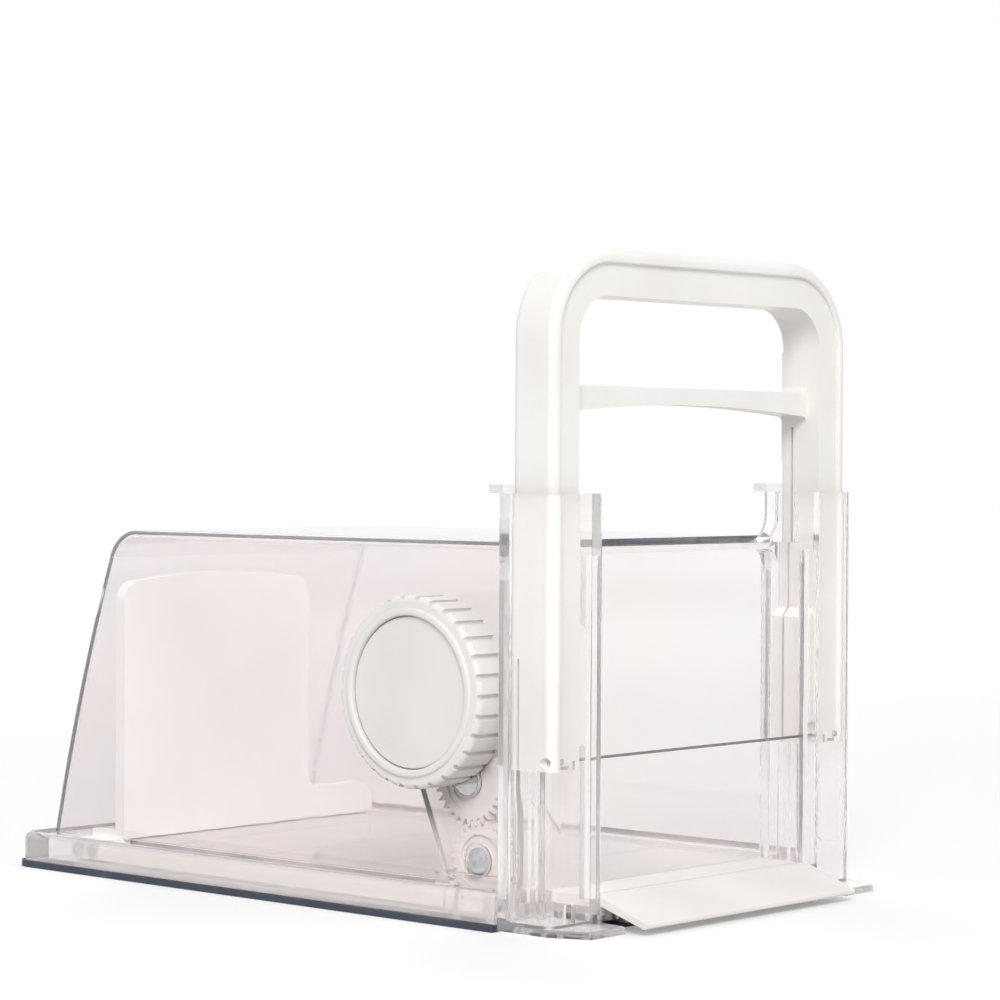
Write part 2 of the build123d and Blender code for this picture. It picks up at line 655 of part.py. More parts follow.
# ---- Gear cover: clear plate with a seat for each idler's pin ----------------
with BuildPart() as gear_cover:
    with BuildSketch(side_plane(cover_in)) as cover_plate:
        train_hull(cover_plate, gear_tip_gap + housing_wall)
        with Locations(ear_spots):
            Circle(ear_radius)
    extrude(amount=cover_thickness)
    with BuildSketch(side_plane(cover_in)) as cover_bores:
        for x, z, radius in gear_train[:2]:
            with Locations((x, z)):
                Circle(pin_radius + fit_gap)
        with Locations((knob_x, knob_z)):
            Circle(journal_front + bore_gap)
    extrude(amount=cover_thickness, mode=Mode.SUBTRACT)
    for place, head in ((gear_train[0], lower_head_radius), (gear_train[1], upper_head_radius)):
        with BuildSketch(side_plane(cover_out)) as head_seat:
            with Locations(place[:2]):
                Circle(head + head_gap)
            span(column_rear - part_gap, column_rear + head, 0, knob_z, mode=Mode.SUBTRACT)
        extrude(amount=-pin_head, mode=Mode.SUBTRACT)
        with BuildSketch(side_plane(cover_out)) as ring_groove:
            with Locations(place[:2]):
                Circle(head + ring_offset + ring_width)
                Circle(head + ring_offset, mode=Mode.SUBTRACT)
        extrude(amount=-ring_depth, mode=Mode.SUBTRACT)
    with Locations(*[Plane((x, -cover_out, z), z_dir=(0, -1, 0)) for x, z in ear_spots]):
        CounterSinkHole(screw_radius + screw_gap, screw_head, depth=cover_thickness, counter_sink_angle=90)

# ---- Gears ------------------------------------------------------------------


def lay_gear(teeth, first_tooth, place):
    """Gear with thinned webs on both faces, added to the part in hand."""
    with BuildSketch(side_plane(gear_in), mode=Mode.PRIVATE) as teeth_profile:
        with Locations(place[:2]):
            Polygon(*gear_outline(teeth, first_tooth), align=None)
    extrude(teeth_profile.sketch, amount=gear_face)
    root = module * teeth / 2 - dedendum * module
    for face, depth in ((gear_in, gear_recess), (gear_out, -gear_recess)):
        with BuildSketch(side_plane(face), mode=Mode.PRIVATE) as web:
            with Locations(place[:2]):
                Circle(root - gear_rim)
                Circle(hub_radius, mode=Mode.SUBTRACT)
        extrude(web.sketch, amount=depth, mode=Mode.SUBTRACT)


with BuildPart() as lower_idler_gear:
    lay_gear(lower_teeth, lower_tooth, gear_train[0])
    with Locations(Plane((lower_idler_x, -gear_out, lower_idler_z), z_dir=(0, -1, 0))):
        Hole(pin_radius + bore_gap, depth=gear_face)

with BuildPart() as upper_idler_gear:
    lay_gear(upper_teeth, upper_tooth, gear_train[1])
    with Locations(Plane((upper_idler_x, -gear_out, upper_idler_z), z_dir=(0, -1, 0))):
        Hole(pin_radius + bore_gap, depth=gear_face)

# The drive gear's shaft runs in both plates and has a flat where the knob sits on it
with BuildPart() as drive_gear:
    lay_gear(drive_teeth, drive_tooth, gear_train[2])
    with BuildSketch(side_plane(plate_in)) as rear_journal:
        with Locations((knob_x, knob_z)):
            Circle(journal_rear)
    extrude(amount=gear_in - plate_in)
    with BuildSketch(side_plane(gear_out)) as front_journal:
        with Locations((knob_x, knob_z)):
            Circle(journal_front)
    extrude(amount=shaft_out - gear_out)
    with BuildSketch(side_plane(knob_in)) as shaft_flat:
        span(knob_x - journal_front, knob_x + journal_front,
             knob_z + journal_front - flat_depth, knob_z + journal_front)
    extrude(amount=shaft_out - knob_in, mode=Mode.SUBTRACT)
    with Locations(Plane((knob_x, -shaft_out, knob_z), z_dir=(0, -1, 0))):
        Hole(screw_radius + fit_gap, depth=knob_screw_length)


def lay_pin(place, head):
    """Shoulder pin through an idler, from the back plate to its flush head in the cover."""
    with BuildSketch(side_plane(plate_in), mode=Mode.PRIVATE) as shank:
        with Locations(place[:2]):
            Circle(pin_radius)
    extrude(shank.sketch, amount=pin_head_in - plate_in)
    with BuildSketch(side_plane(pin_head_in), mode=Mode.PRIVATE) as pin_top:
        with Locations(place[:2]):
            Circle(head)
    extrude(pin_top.sketch, amount=pin_head)


with BuildPart() as lower_idler_pin:
    lay_pin(gear_train[0], lower_head_radius)
with BuildPart() as upper_idler_pin:
    lay_pin(gear_train[1], upper_head_radius)

# ---- Rack: teeth on top, and a pad at its rear for the pusher's foot ---------
with BuildPart() as rack:
    with BuildSketch(side_plane(rack_in)) as rack_side:
        span(ear_front, rack_front, rack_bottom_z, rack_root_z)
        slope = tan(radians(pressure_angle))
        half_pitch = (tooth_step / 2 - tooth_thinning) / 2
        half_tip = half_pitch - module * slope
        half_root = half_pitch + dedendum * module * slope
        first = int((ear_front + half_root - rack_tooth_x) / tooth_step)
        last = int((rack_front - half_root - rack_tooth_x) / tooth_step)
        for number in range(first, last + 1):
            middle = rack_tooth_x + number * tooth_step
            if ear_front < middle - half_root and middle + half_root < rack_front:
                with BuildLine():
                    Polyline((middle - half_root, rack_root_z), (middle - half_tip, rack_tip_z),
                             (middle + half_tip, rack_tip_z), (middle + half_root, rack_root_z), close=True)
                make_face()
    extrude(amount=rack_face)
    with BuildSketch(side_plane(rack_in)) as pad:
        span(pad_rear, ear_front, rack_bottom_z, foot_top)
        fillet(pad.vertices().sort_by(Axis.X)[:2], radius=pad_corner)
    extrude(amount=rack_face)
    rack_screw_x = [ear_front - setback for setback in rack_screw_setback]
    with Locations(*[Plane((x, -rack_out, rack_screw_z), z_dir=(0, -1, 0)) for x in rack_screw_x]):
        Hole(screw_radius + screw_gap, depth=rack_face)

# ---- Knob: lobed ring, hub on the shaft, and a plain cap over its screw ------
with BuildPart() as knob:
    with BuildSketch(side_plane(knob_in)) as knob_ring:
        with Locations((knob_x, knob_z)):
            Circle(knob_radius)
    extrude(amount=knob_depth)
    fillet(knob.edges().group_by(Axis.Y)[0], radius=knob_front_edge)
    with BuildSketch(side_plane(knob_out)) as bead:
        with Locations((knob_x, knob_z)):
            Circle(cap_radius + cap_gap + bead_width)
            Circle(cap_radius + cap_gap, mode=Mode.SUBTRACT)
    extrude(amount=bead_height)
    fillet(knob.edges().group_by(Axis.Y)[0], radius=bead_edge)
    with BuildSketch(side_plane(knob_in)) as lobes:
        with Locations((knob_x, knob_z)):
            with PolarLocations(knob_radius - lobe_depth + lobe_notch, knob_lobes):
                Circle(lobe_notch)
    extrude(amount=knob_depth, mode=Mode.SUBTRACT)
    with BuildSketch(side_plane(web_out)) as cap_pocket:
        with Locations((knob_x, knob_z)):
            Circle(cap_radius + cap_gap)
    extrude(amount=knob_out - web_out, mode=Mode.SUBTRACT)
    with BuildSketch(side_plane(knob_in)) as knob_hollow:
        with Locations((knob_x, knob_z)):
            Circle(knob_radius - knob_wall)
            Circle(boss_radius, mode=Mode.SUBTRACT)
    extrude(amount=web_in - knob_in, mode=Mode.SUBTRACT)
    with BuildSketch(side_plane(knob_in)) as hub_bore:
        with Locations((knob_x, knob_z)):
            Circle(journal_front + bore_gap)
        span(knob_x - 2 * journal_front, knob_x + 2 * journal_front,
             knob_z + journal_front - flat_depth + bore_gap, knob_z + 2 * journal_front, mode=Mode.SUBTRACT)
    extrude(amount=web_in - knob_in, mode=Mode.SUBTRACT)
    with Locations(Plane((knob_x, -web_out, knob_z), z_dir=(0, -1, 0))):
        Hole(screw_radius + screw_gap, depth=web_thickness)

with BuildPart() as knob_cap:
    with BuildSketch(side_plane(cap_in)) as cap_disc:
        with Locations((knob_x, knob_z)):
            Circle(cap_radius)
    extrude(amount=cap_thickness)
    fillet(knob_cap.edges().group_by(Axis.Y)[0], radius=cap_edge)

# ---- Pusher: plate, rear gussets, ears in both channels, foot to the rack ----
with BuildPart() as pusher_plate:
    with BuildSketch(Plane.YZ.offset(pusher_rear)) as pusher_face:
        with BuildLine():
            ThreePointArc((-pusher_half, pusher_top - pusher_rise), (pusher_middle, pusher_top),
                          (pusher_far, pusher_top - pusher_rise))
            Polyline((pusher_far, pusher_top - pusher_rise), (pusher_far, foot_bar_top),
                     (pusher_half, foot_bar_top), (pusher_half, pusher_bottom),
                     (-pusher_half, pusher_bottom), (-pusher_half, pusher_top - pusher_rise))
        make_face()
        fillet(pusher_face.vertices().group_by(Axis.Y)[-1], radius=pusher_corner)
        fillet(pusher_face.vertices().group_by(Axis.Y)[1], radius=foot_bar_corner)
    extrude(amount=pusher_thickness)
    for middle in (pusher_middle - gusset_spacing / 2, pusher_middle + gusset_spacing / 2):
        with BuildSketch(side_plane(-middle - gusset_thickness / 2)) as gusset:
            with BuildLine():
                Polyline((pusher_rear, pusher_bottom), (pusher_rear - gusset_length, pusher_bottom),
                         (pusher_rear, pusher_bottom + gusset_height), close=True)
            make_face()
        extrude(amount=gusset_thickness)
    with BuildSketch(Plane.XY.offset(foot_bottom)) as ears:
        both_sides(ear_rear, ear_front, ear_in, pusher_half)
    extrude(amount=ear_top - foot_bottom)
    with BuildSketch(Plane.XY.offset(foot_bottom)) as foot:
        span(ear_rear, ear_front, -rack_in, -pusher_half)
    extrude(amount=foot_top - foot_bottom)
    with Locations(*[Plane((x, -rack_in, rack_screw_z), z_dir=(0, -1, 0)) for x in rack_screw_x]):
        Hole(screw_radius + fit_gap, depth=rack_screw_length)

# ---- Step inside the front rim of the arch and the legs -----------------------
with BuildPart() as rim_cutter:
    with BuildSketch(Plane.YZ.offset(leg_front - rim_step)) as rim_face:
        span(-leg_out + rim_side, leg_out - rim_side, leg_bottom, handle_top - rim_top)
        fillet(rim_face.vertices().group_by(Axis.Y)[-1], radius=arch_radius - rim_top)
    extrude(amount=2 * rim_step)

# ---- Handle: arch with a crossbar, two legs with sliding shoes and snap fingers
with BuildPart() as handle_frame:
    with BuildSketch(Plane.YZ.offset(leg_rear)) as arch:
        span(-leg_out, leg_out, leg_bottom, handle_top)
        fillet(arch.vertices().group_by(Axis.Y)[-1], radius=arch_radius)
    extrude(amount=leg_depth)
    ends = handle_frame.faces().filter_by(Axis.X).edges().filter_by(
        lambda e: e.center().Z > leg_bottom + outer_edge)
    fillet(ends, radius=outer_edge)
    with BuildSketch(Plane.YZ.offset(leg_rear)) as opening:
        span(-leg_in, leg_in, leg_bottom, handle_top - arch_thickness)
        fillet(opening.vertices().group_by(Axis.Y)[-1], radius=opening_radius)
    extrude(amount=leg_depth, mode=Mode.SUBTRACT)
    inner = handle_frame.faces().filter_by(Axis.X).edges().filter_by(
        lambda e: leg_bottom + inner_edge < e.center().Z < handle_top - arch_thickness + inner_edge
        and abs(e.center().Y) < leg_in + inner_edge)
    fillet(inner, radius=inner_edge)
    # Sliding shoes
    with BuildSketch(Plane.YZ.offset(leg_rear)) as shoes:
        for side in (-1, 1):
            with BuildLine():
                Polyline((side * shoe_in, leg_bottom), (side * shoe_in, shoe_top - leg_in + shoe_in),
                         (side * leg_in, shoe_top), (side * (leg_in + inner_edge), shoe_top),
                         (side * (leg_in + inner_edge), leg_bottom), close=True)
            make_face()
    extrude(amount=leg_depth)
    # Crossbar with an arched underside
    with BuildSketch(Plane.YZ.offset(leg_rear)) as crossbar:
        with BuildLine():
            ThreePointArc((-leg_in, crossbar_ends), (0, crossbar_ends + crossbar_rise),
                          (leg_in, crossbar_ends))
            Polyline((leg_in, crossbar_ends), (leg_in, crossbar_top), (-leg_in, crossbar_top),
                     (-leg_in, crossbar_ends))
        make_face()
        for side in (-1, 1):
            span(side * leg_in, side * (leg_in + inner_edge), crossbar_ends - arch_thickness,
                 crossbar_top + opening_radius)
        corners = crossbar.vertices().filter_by(
            lambda v: abs(abs(v.X) - leg_in) < inner_edge / 2
            and crossbar_ends - inner_edge < v.Y < crossbar_top + inner_edge)
        fillet(corners, radius=crossbar_fillet)
    extrude(amount=crossbar_depth)
    # Snap fingers: a slit through each shoe, and a barb at the finger's lower end
    with BuildSketch(Plane.XY.offset(leg_bottom)) as slits:
        both_sides(slit_x - slit_width / 2, slit_x + slit_width / 2, shoe_in, leg_out)
    extrude(amount=slit_height, mode=Mode.SUBTRACT)
    with BuildSketch(Plane.XY.offset(leg_bottom + slit_height)) as leg_grooves:
        both_sides(slit_x - slit_width / 2, slit_x + slit_width / 2, shoe_in, leg_in + groove_in_leg)
    extrude(amount=crossbar_ends - groove_end - leg_bottom - slit_height, mode=Mode.SUBTRACT)
    with BuildSketch(Plane.XY.offset(leg_bottom)) as wire_notches:
        both_sides(-wire_notch_back, leg_front, shoe_in, leg_in)
    extrude(amount=wire_z + wire_notch_top - leg_bottom, mode=Mode.SUBTRACT)
    for middle in (-barb_y, barb_y):
        with BuildSketch(side_plane(middle - barb_width / 2)) as barb:
            with BuildLine():
                Polyline((leg_rear, leg_bottom + barb_reach),
                         (leg_rear - barb_reach, leg_bottom + 2 * barb_reach),
                         (leg_rear - barb_reach, leg_bottom + barb_height),
                         (leg_rear, leg_bottom + barb_height), close=True)
            make_face()
        extrude(amount=barb_width)
    # Relief over the rack in both shoes
    with BuildSketch(Plane.YZ.offset(leg_rear)) as rack_relief:
        for side in (-1, 1):
            span(side * guide_in, side * guide_out, leg_bottom, relief_top)
    extrude(amount=leg_depth, mode=Mode.SUBTRACT)
    # Bores for the wire, its ferrules and its set screws
    with BuildSketch(side_plane(-leg_out)) as wire_bore:
        with Locations((0, wire_z)):
            Circle(wire_radius + wire_gap)
    extrude(amount=leg_span, mode=Mode.SUBTRACT)
    for start in (-leg_out, ferrule_in):
        with BuildSketch(side_plane(start)) as ferrule_seat:
            with Locations((0, wire_z)):
                Circle(ferrule_radius + wire_gap)
        extrude(amount=leg_out - ferrule_in, mode=Mode.SUBTRACT)
    with Locations([(0, y, leg_bottom) for y in (-set_screw_y, set_screw_y)]):
        Cylinder(set_screw_radius + fit_gap, wire_z - leg_bottom,
                 align=(Align.CENTER, Align.CENTER, Align.MIN), mode=Mode.SUBTRACT)
    add(rim_cutter.part, mode=Mode.SUBTRACT)
    proud_edge = handle_frame.edges().filter_by(
        lambda e: e.center().X > leg_front - rim_step / 2 and e.bounding_box().size.X < rim_edge
        and abs(e.center().Y) < leg_out - rim_side + rim_edge / 2
        and e.center().Z < handle_top - rim_top + rim_edge / 2
        and e.bounding_box().size.Z > rim_edge)
    top_edge = handle_frame.edges().filter_by(
        lambda e: e.center().X > leg_front - rim_step / 2
        and abs(e.center().Z - handle_top + rim_top) < rim_edge / 2)
    fillet(proud_edge + top_edge, radius=rim_edge)

# ---- Cutting wire and what holds it ------------------------------------------
with BuildPart() as cutting_wire:
    with BuildSketch(side_plane(-ferrule_out)) as wire_section:
        with Locations((0, wire_z)):
            Circle(wire_radius)
    extrude(amount=2 * ferrule_out)

with BuildPart() as wire_ferrules:
    for start in (-ferrule_out, ferrule_in):
        with BuildSketch(side_plane(start)) as ferrule:
            with Locations((0, wire_z)):
                Circle(ferrule_radius)
                Circle(wire_radius + fit_gap, mode=Mode.SUBTRACT)
        extrude(amount=ferrule_length)


def screw(radius, head_radius, head_height, length):
    """Screw at each location in use: its shank points along +Z and its head lies below the location."""
    upright = (Align.CENTER, Align.CENTER, Align.MIN)
    hanging = (Align.CENTER, Align.CENTER, Align.MAX)
    Cylinder(radius, length, align=upright)
    Cylinder(head_radius, head_height, align=hanging)


with BuildPart() as wire_set_screws:
    with Locations([(0, y, leg_bottom + screw_gap) for y in (-set_screw_y, set_screw_y)]):
        Cylinder(set_screw_radius, wire_z - wire_radius - leg_bottom - 2 * screw_gap,
                 align=(Align.CENTER, Align.CENTER, Align.MIN))
        Cylinder(set_screw_radius / 2, screw_head_height,
                 align=(Align.CENTER, Align.CENTER, Align.MIN), mode=Mode.SUBTRACT)

# ---- Fasteners ----------------------------------------------------------------
with BuildPart() as base_screws:
    with Locations([(x, y, tab_bottom) for x in base_screw_x for y in (-base_screw_y, base_screw_y)]):
        screw(screw_radius, screw_head, screw_head_height, base_screw_tip - tab_bottom)

with BuildPart() as housing_screws:
    with Locations([(x, -block_screw_y, tray_bottom + screw_head_height) for x in housing_screw_x]):
        screw(small_screw_radius, small_screw_head, screw_head_height,
              housing_screw_tip - tray_bottom - screw_head_height)

with BuildPart() as cover_screws:
    head_depth = screw_head - screw_gap - screw_radius
    with Locations(*[Plane((x, -cover_out + head_depth, z), z_dir=(0, 1, 0)) for x, z in ear_spots]):
        screw(screw_radius, screw_radius, head_depth / 2, cover_in - plate_out + cover_thickness - head_depth)
        Cone(screw_radius + head_depth, screw_radius, head_depth,
             align=(Align.CENTER, Align.CENTER, Align.MAX))

with BuildPart() as rack_screws:
    with Locations(*[Plane((x, -rack_out, rack_screw_z), z_dir=(0, 1, 0)) for x in rack_screw_x]):
        screw(screw_radius, screw_head, screw_head_height, rack_face + rack_screw_length - screw_gap)

with BuildPart() as knob_screw:
    with Locations(Plane((knob_x, -web_out, knob_z), z_dir=(0, 1, 0))):
        screw(screw_radius, screw_head, screw_head_height, knob_screw_length)

# ---- Labels and files ----------------------------------------------------------
pieces = {
    "foot_mat": foot_mat,
    "base_tray": base_tray,
    "cutting_board": cutting_board,
    "guide_frame": guide_frame,
    "base_screws": base_screws,
    "hood": hood,
    "gear_housing": gear_housing,
    "housing_screws": housing_screws,
    "gear_cover": gear_cover,
    "cover_screws": cover_screws,
    "lower_idler_gear": lower_idler_gear,
    "lower_idler_pin": lower_idler_pin,
    "upper_idler_gear": upper_idler_gear,
    "upper_idler_pin": upper_idler_pin,
    "drive_gear": drive_gear,
    "knob": knob,
    "knob_screw": knob_screw,
    "knob_cap": knob_cap,
    "rack": rack,
    "rack_screws": rack_screws,
    "pusher_plate": pusher_plate,
    "handle_frame": handle_frame,
    "cutting_wire": cutting_wire,
    "wire_ferrules": wire_ferrules,
    "wire_set_screws": wire_set_screws,
}
os.makedirs("parts", exist_ok=True)
for label, piece in pieces.items():
    piece.part.label = label
    export_step(piece.part, f"parts/{label}.step")
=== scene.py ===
import math
import bmesh
import bpy
from mathutils import Matrix, Vector


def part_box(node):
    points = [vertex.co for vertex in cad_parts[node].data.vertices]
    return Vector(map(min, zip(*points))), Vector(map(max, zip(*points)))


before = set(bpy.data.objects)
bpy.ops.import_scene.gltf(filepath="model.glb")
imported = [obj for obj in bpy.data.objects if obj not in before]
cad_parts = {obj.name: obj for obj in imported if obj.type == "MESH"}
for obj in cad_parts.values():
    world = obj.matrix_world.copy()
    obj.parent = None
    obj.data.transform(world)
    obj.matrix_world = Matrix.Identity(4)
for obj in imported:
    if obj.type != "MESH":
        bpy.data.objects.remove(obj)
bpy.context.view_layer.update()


# ---- Shader maths ----------------------------------------------------------------
class Value:
    """A number socket in a node tree. Expressions on it add Math nodes."""

    def __init__(self, tree, socket):
        self.tree = tree
        self.socket = socket

    def math(self, operation, *others):
        return self.tree.value("ShaderNodeMath", dict(enumerate((self, *others))), operation=operation)

    def __add__(self, other):
        return self.math("ADD", other)

    def __radd__(self, other):
        return self.math("ADD", other)

    def __sub__(self, other):
        return self.math("SUBTRACT", other)

    def __rsub__(self, other):
        return self.tree.value("ShaderNodeMath", {0: other, 1: self}, operation="SUBTRACT")

    def __mul__(self, other):
        return self.math("MULTIPLY", other)

    def __rmul__(self, other):
        return self.math("MULTIPLY", other)

    def __truediv__(self, other):
        return self.math("DIVIDE", other)

    def __lt__(self, other):
        return self.math("LESS_THAN", other)

    def __abs__(self):
        return self.math("ABSOLUTE")

    def root(self):
        return self.math("SQRT")

    def most(self, other):
        return self.math("MAXIMUM", other)

    def ramp(self, low, high):
        """0 at low and 1 at high, smooth between."""
        return self.tree.value("ShaderNodeMapRange", {0: self, 1: low, 2: high},
                               interpolation_type="SMOOTHSTEP")


class Tree:
    """The node tree of a material or of the world."""

    def __init__(self, owner):
        owner.use_nodes = True
        self.owner = owner
        self.nodes = owner.node_tree.nodes
        self.links = owner.node_tree.links
        self.shader = self.nodes.get("Principled BSDF") or self.nodes["Background"]

    @classmethod
    def material(cls, name):
        return cls(bpy.data.materials.new(name))

    def feed(self, socket, given):
        """Links a value or an output to the socket, or sets the socket to a constant."""
        if isinstance(given, Value):
            given = given.socket
        if isinstance(given, bpy.types.NodeSocket):
            self.links.new(given, socket)
        else:
            socket.default_value = given

    def node(self, kind, inputs=None, **settings):
        """Adds a node: its settings first, then values or links for its sockets."""
        made = self.nodes.new(kind)
        for key, setting in settings.items():
            setattr(made, key, setting)
        for key, given in (inputs or {}).items():
            self.feed(made.inputs[key], given)
        return made

    def value(self, kind, inputs, **settings):
        """Adds a node whose first output is a number, and returns that number."""
        return Value(self, self.node(kind, inputs, **settings).outputs[0])

    def place(self):
        """Object coordinates, in metres."""
        return self.node("ShaderNodeTexCoord").outputs["Object"]

    def axes(self):
        """Object coordinates as three numbers."""
        split = self.node("ShaderNodeSeparateXYZ", {0: self.place()})
        return [Value(self, output) for output in split.outputs]

    def noise(self, scale, detail, stretch=(1.0, 1.0, 1.0)):
        """Noise on Object coordinates, with scale in cells per metre."""
        mapped = self.node("ShaderNodeMapping", {"Vector": self.place(), "Scale": stretch})
        return self.value("ShaderNodeTexNoise",
                          {"Vector": mapped.outputs[0], "Scale": scale, "Detail": detail})

    def mix(self, share, first, second):
        """Colour between first and second, which are sockets 6 and 7 of a Mix node set to colours."""
        made = self.node("ShaderNodeMix", {0: share, 6: first, 7: second}, data_type="RGBA")
        return made.outputs[2]

    def bump(self, height, strength, distance):
        """Normals of a surface that height, from 0 to 1, raises by up to distance, in metres."""
        made = self.node("ShaderNodeBump", {"Height": height, "Strength": strength, "Distance": distance})
        return made.outputs[0]

    def finish(self, **inputs):
        """Sets the main shader's sockets by name, with _ for a space. Returns the material or the world."""
        for key, given in inputs.items():
            self.feed(self.shader.inputs[key.replace("_", " ")], given)
        return self.owner


def grey(level):
    """A plain grey, as linear light."""
    return (level, level, level, 1.0)


def tint(red, green, blue):
    """A colour given in display values from 0 to 255, as linear light."""
    def linear(part):
        share = part / 255
        return share / 12.92 if share <= 0.04045 else ((share + 0.055) / 1.055) ** 2.4
    return (linear(red), linear(green), linear(blue), 1.0)


# ---- Finishes --------------------------------------------------------------------
PLASTIC_IOR = 1.49
RUBBER_IOR = 1.5
PLASTIC_SPECULAR = 0.4
THICK_TINT = tint(105, 122, 160)     # clear plastic along its edges, where light goes through much of it
PAINTED_CORNER_SHADE = tint(192, 198, 216)    # painted shade on the hood's two rear corner edges, for the dark look of thick clear plastic there
SOLE_TINT = tint(58, 63, 78)
SOLE_DUST = tint(78, 84, 98)
STEEL_SPOTS = tint(150, 150, 154)

HOOD_LEAN = math.tan(math.radians(16.6))    # how far forward the rear wall leans, for its height
HOOD_BULGE = 0.0020                         # how far back its middle bulges
CORNER_DEPTH = (0.0005, 0.0035)             # painted corner shade is full, and ends, this far from the rear face
CORNER_WIDTH = (0.0004, 0.0030)             # and this far from the side face


def hood_corner_painted_shade(tree):
    """1 where painted shade goes, on each of the hood's two rear corner edges, which lean forward and bulge
    a little, and 0 elsewhere.
    """
    low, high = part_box("hood")
    middle = (low.z + high.z) / 2
    half_height = (high.z - low.z) / 2
    rear = low.x - HOOD_LEAN * low.z - HOOD_BULGE       # where its middle would meet the table
    along, across, up = tree.axes()
    height = (up - middle) / half_height
    inwards = along - HOOD_LEAN * up - HOOD_BULGE * height * height - rear
    sideways = abs(across).ramp(high.y - CORNER_WIDTH[1], high.y - CORNER_WIDTH[0])
    return (1.0 - inwards.ramp(*CORNER_DEPTH)) * sideways


def moulded_plastic(name, colour, shade, roughness):
    """Opaque moulded plastic: faint flow clouds, fine orange peel, and sheen that varies a little."""
    tree = Tree.material(name)
    clouds = tree.noise(28.0, 3.0)
    peel = tree.noise(1400.0, 1.0)
    wiped = tree.noise(90.0, 4.0, stretch=(1.0, 1.0, 0.3))
    return tree.finish(
        Base_Color=tree.mix(clouds.ramp(0.35, 0.75), colour, shade),
        Roughness=roughness + 0.10 * wiped,
        Normal=tree.bump(peel, 0.06, 0.0002),
        IOR=PLASTIC_IOR, Specular_IOR_Level=PLASTIC_SPECULAR)


def clear_plastic(name, colour, shade, crossing, milky, density, painted_shade_mask=None):
    """Clear moulded plastic, nearly colourless when thin and blue-grey along its edges.
    A lamp's light goes straight through it and takes on the tint crossing. The share milky of its surface
    scatters light instead, as a faint haze. Where the given mask is 1, its colour is a painted blue-grey
    shade."""
    tree = Tree.material(name)
    waves = tree.noise(55.0, 2.0)
    smears = tree.noise(140.0, 4.0, stretch=(0.4, 1.0, 1.0))
    flow = tree.mix(tree.noise(24.0, 2.0).ramp(0.35, 0.7), colour, shade)
    # Painted shade: blue-grey where the mask is 1, standing in for the dark look of thick clear plastic
    # there
    if painted_shade_mask:
        flow = tree.mix(painted_shade_mask(tree), flow, PAINTED_CORNER_SHADE)
    tree.finish(
        Base_Color=flow,
        Roughness=0.03 + 0.05 * smears.ramp(0.45, 0.8),
        Normal=tree.bump(waves, 0.12, 0.0006),
        IOR=PLASTIC_IOR, Transmission_Weight=1.0 - milky)
    straight = tree.node("ShaderNodeBsdfTransparent", {0: crossing})
    ray = tree.node("ShaderNodeLightPath")
    surface = tree.node("ShaderNodeMixShader", {
        0: ray.outputs["Is Shadow Ray"], 1: tree.shader.outputs[0], 2: straight.outputs[0]})
    inside = tree.node("ShaderNodeVolumeAbsorption", {"Color": THICK_TINT, "Density": density})
    output = tree.nodes["Material Output"]
    tree.feed(output.inputs["Surface"], surface.outputs[0])
    tree.feed(output.inputs["Volume"], inside.outputs[0])
    return tree.owner


def sole_rubber():
    """Dark blue-grey rubber with a fine matt grain and a little dust."""
    tree = Tree.material("sole_rubber")
    grain = tree.noise(2600.0, 2.0)
    dust = tree.noise(60.0, 5.0)
    return tree.finish(
        Base_Color=tree.mix(dust.ramp(0.45, 0.8), SOLE_TINT, SOLE_DUST),
        Roughness=0.55 + 0.2 * grain,
        Normal=tree.bump(grain, 0.25, 0.0002),
        IOR=RUBBER_IOR)


def turned_steel(name, colour, roughness):
    """Bare steel with fine turning marks and slightly uneven brightness."""
    tree = Tree.material(name)
    marks = tree.noise(3000.0, 2.0, stretch=(1.0, 0.05, 1.0))
    spots = tree.noise(400.0, 3.0)
    return tree.finish(
        Base_Color=tree.mix(spots, colour, STEEL_SPOTS),
        Metallic=1.0,
        Roughness=roughness + 0.15 * marks,
        Normal=tree.bump(marks, 0.15, 0.00005))


HANDLE_WHITE = moulded_plastic("handle_plastic", tint(240, 238, 234), tint(235, 232, 228), roughness=0.27)
KNOB_WHITE = moulded_plastic("knob_plastic", tint(231, 227, 224), tint(224, 220, 217), roughness=0.30)
# Painted light: the pusher plate is whiter than the other white plastics, to make up for the light that the
# hood around it holds back
PLATE_WHITE_PAINTED_LIGHT = moulded_plastic("plate_plastic_painted_light", tint(252, 251, 249), tint(249, 247, 245), roughness=0.32)
BOARD_WHITE = moulded_plastic("board_plastic", tint(240, 236, 232), tint(232, 228, 224), roughness=0.38)
GEAR_WHITE = moulded_plastic("gear_plastic", tint(228, 220, 218), tint(216, 206, 204), roughness=0.30)
CLEAR = clear_plastic(
    "clear_plastic", tint(255, 253, 252), tint(253, 251, 251),
    crossing=tint(248, 247, 247), milky=0.08, density=6.0)
TRAY_CLEAR = clear_plastic(
    "tray_plastic", tint(253, 249, 247), tint(249, 246, 246),
    crossing=tint(255, 254, 254), milky=0.28, density=5.0)
# The hood's two rear corner edges carry painted blue-grey shade
HOOD_CLEAR = clear_plastic(
    "hood_plastic", tint(249, 243, 242), tint(246, 243, 243),
    crossing=tint(255, 254, 253), milky=0.05, density=9.0, painted_shade_mask=hood_corner_painted_shade)
RUBBER = sole_rubber()
STEEL = turned_steel("plated_steel", tint(222, 220, 222), roughness=0.15)
WIRE_STEEL = turned_steel("drawn_steel", tint(120, 120, 124), roughness=0.30)

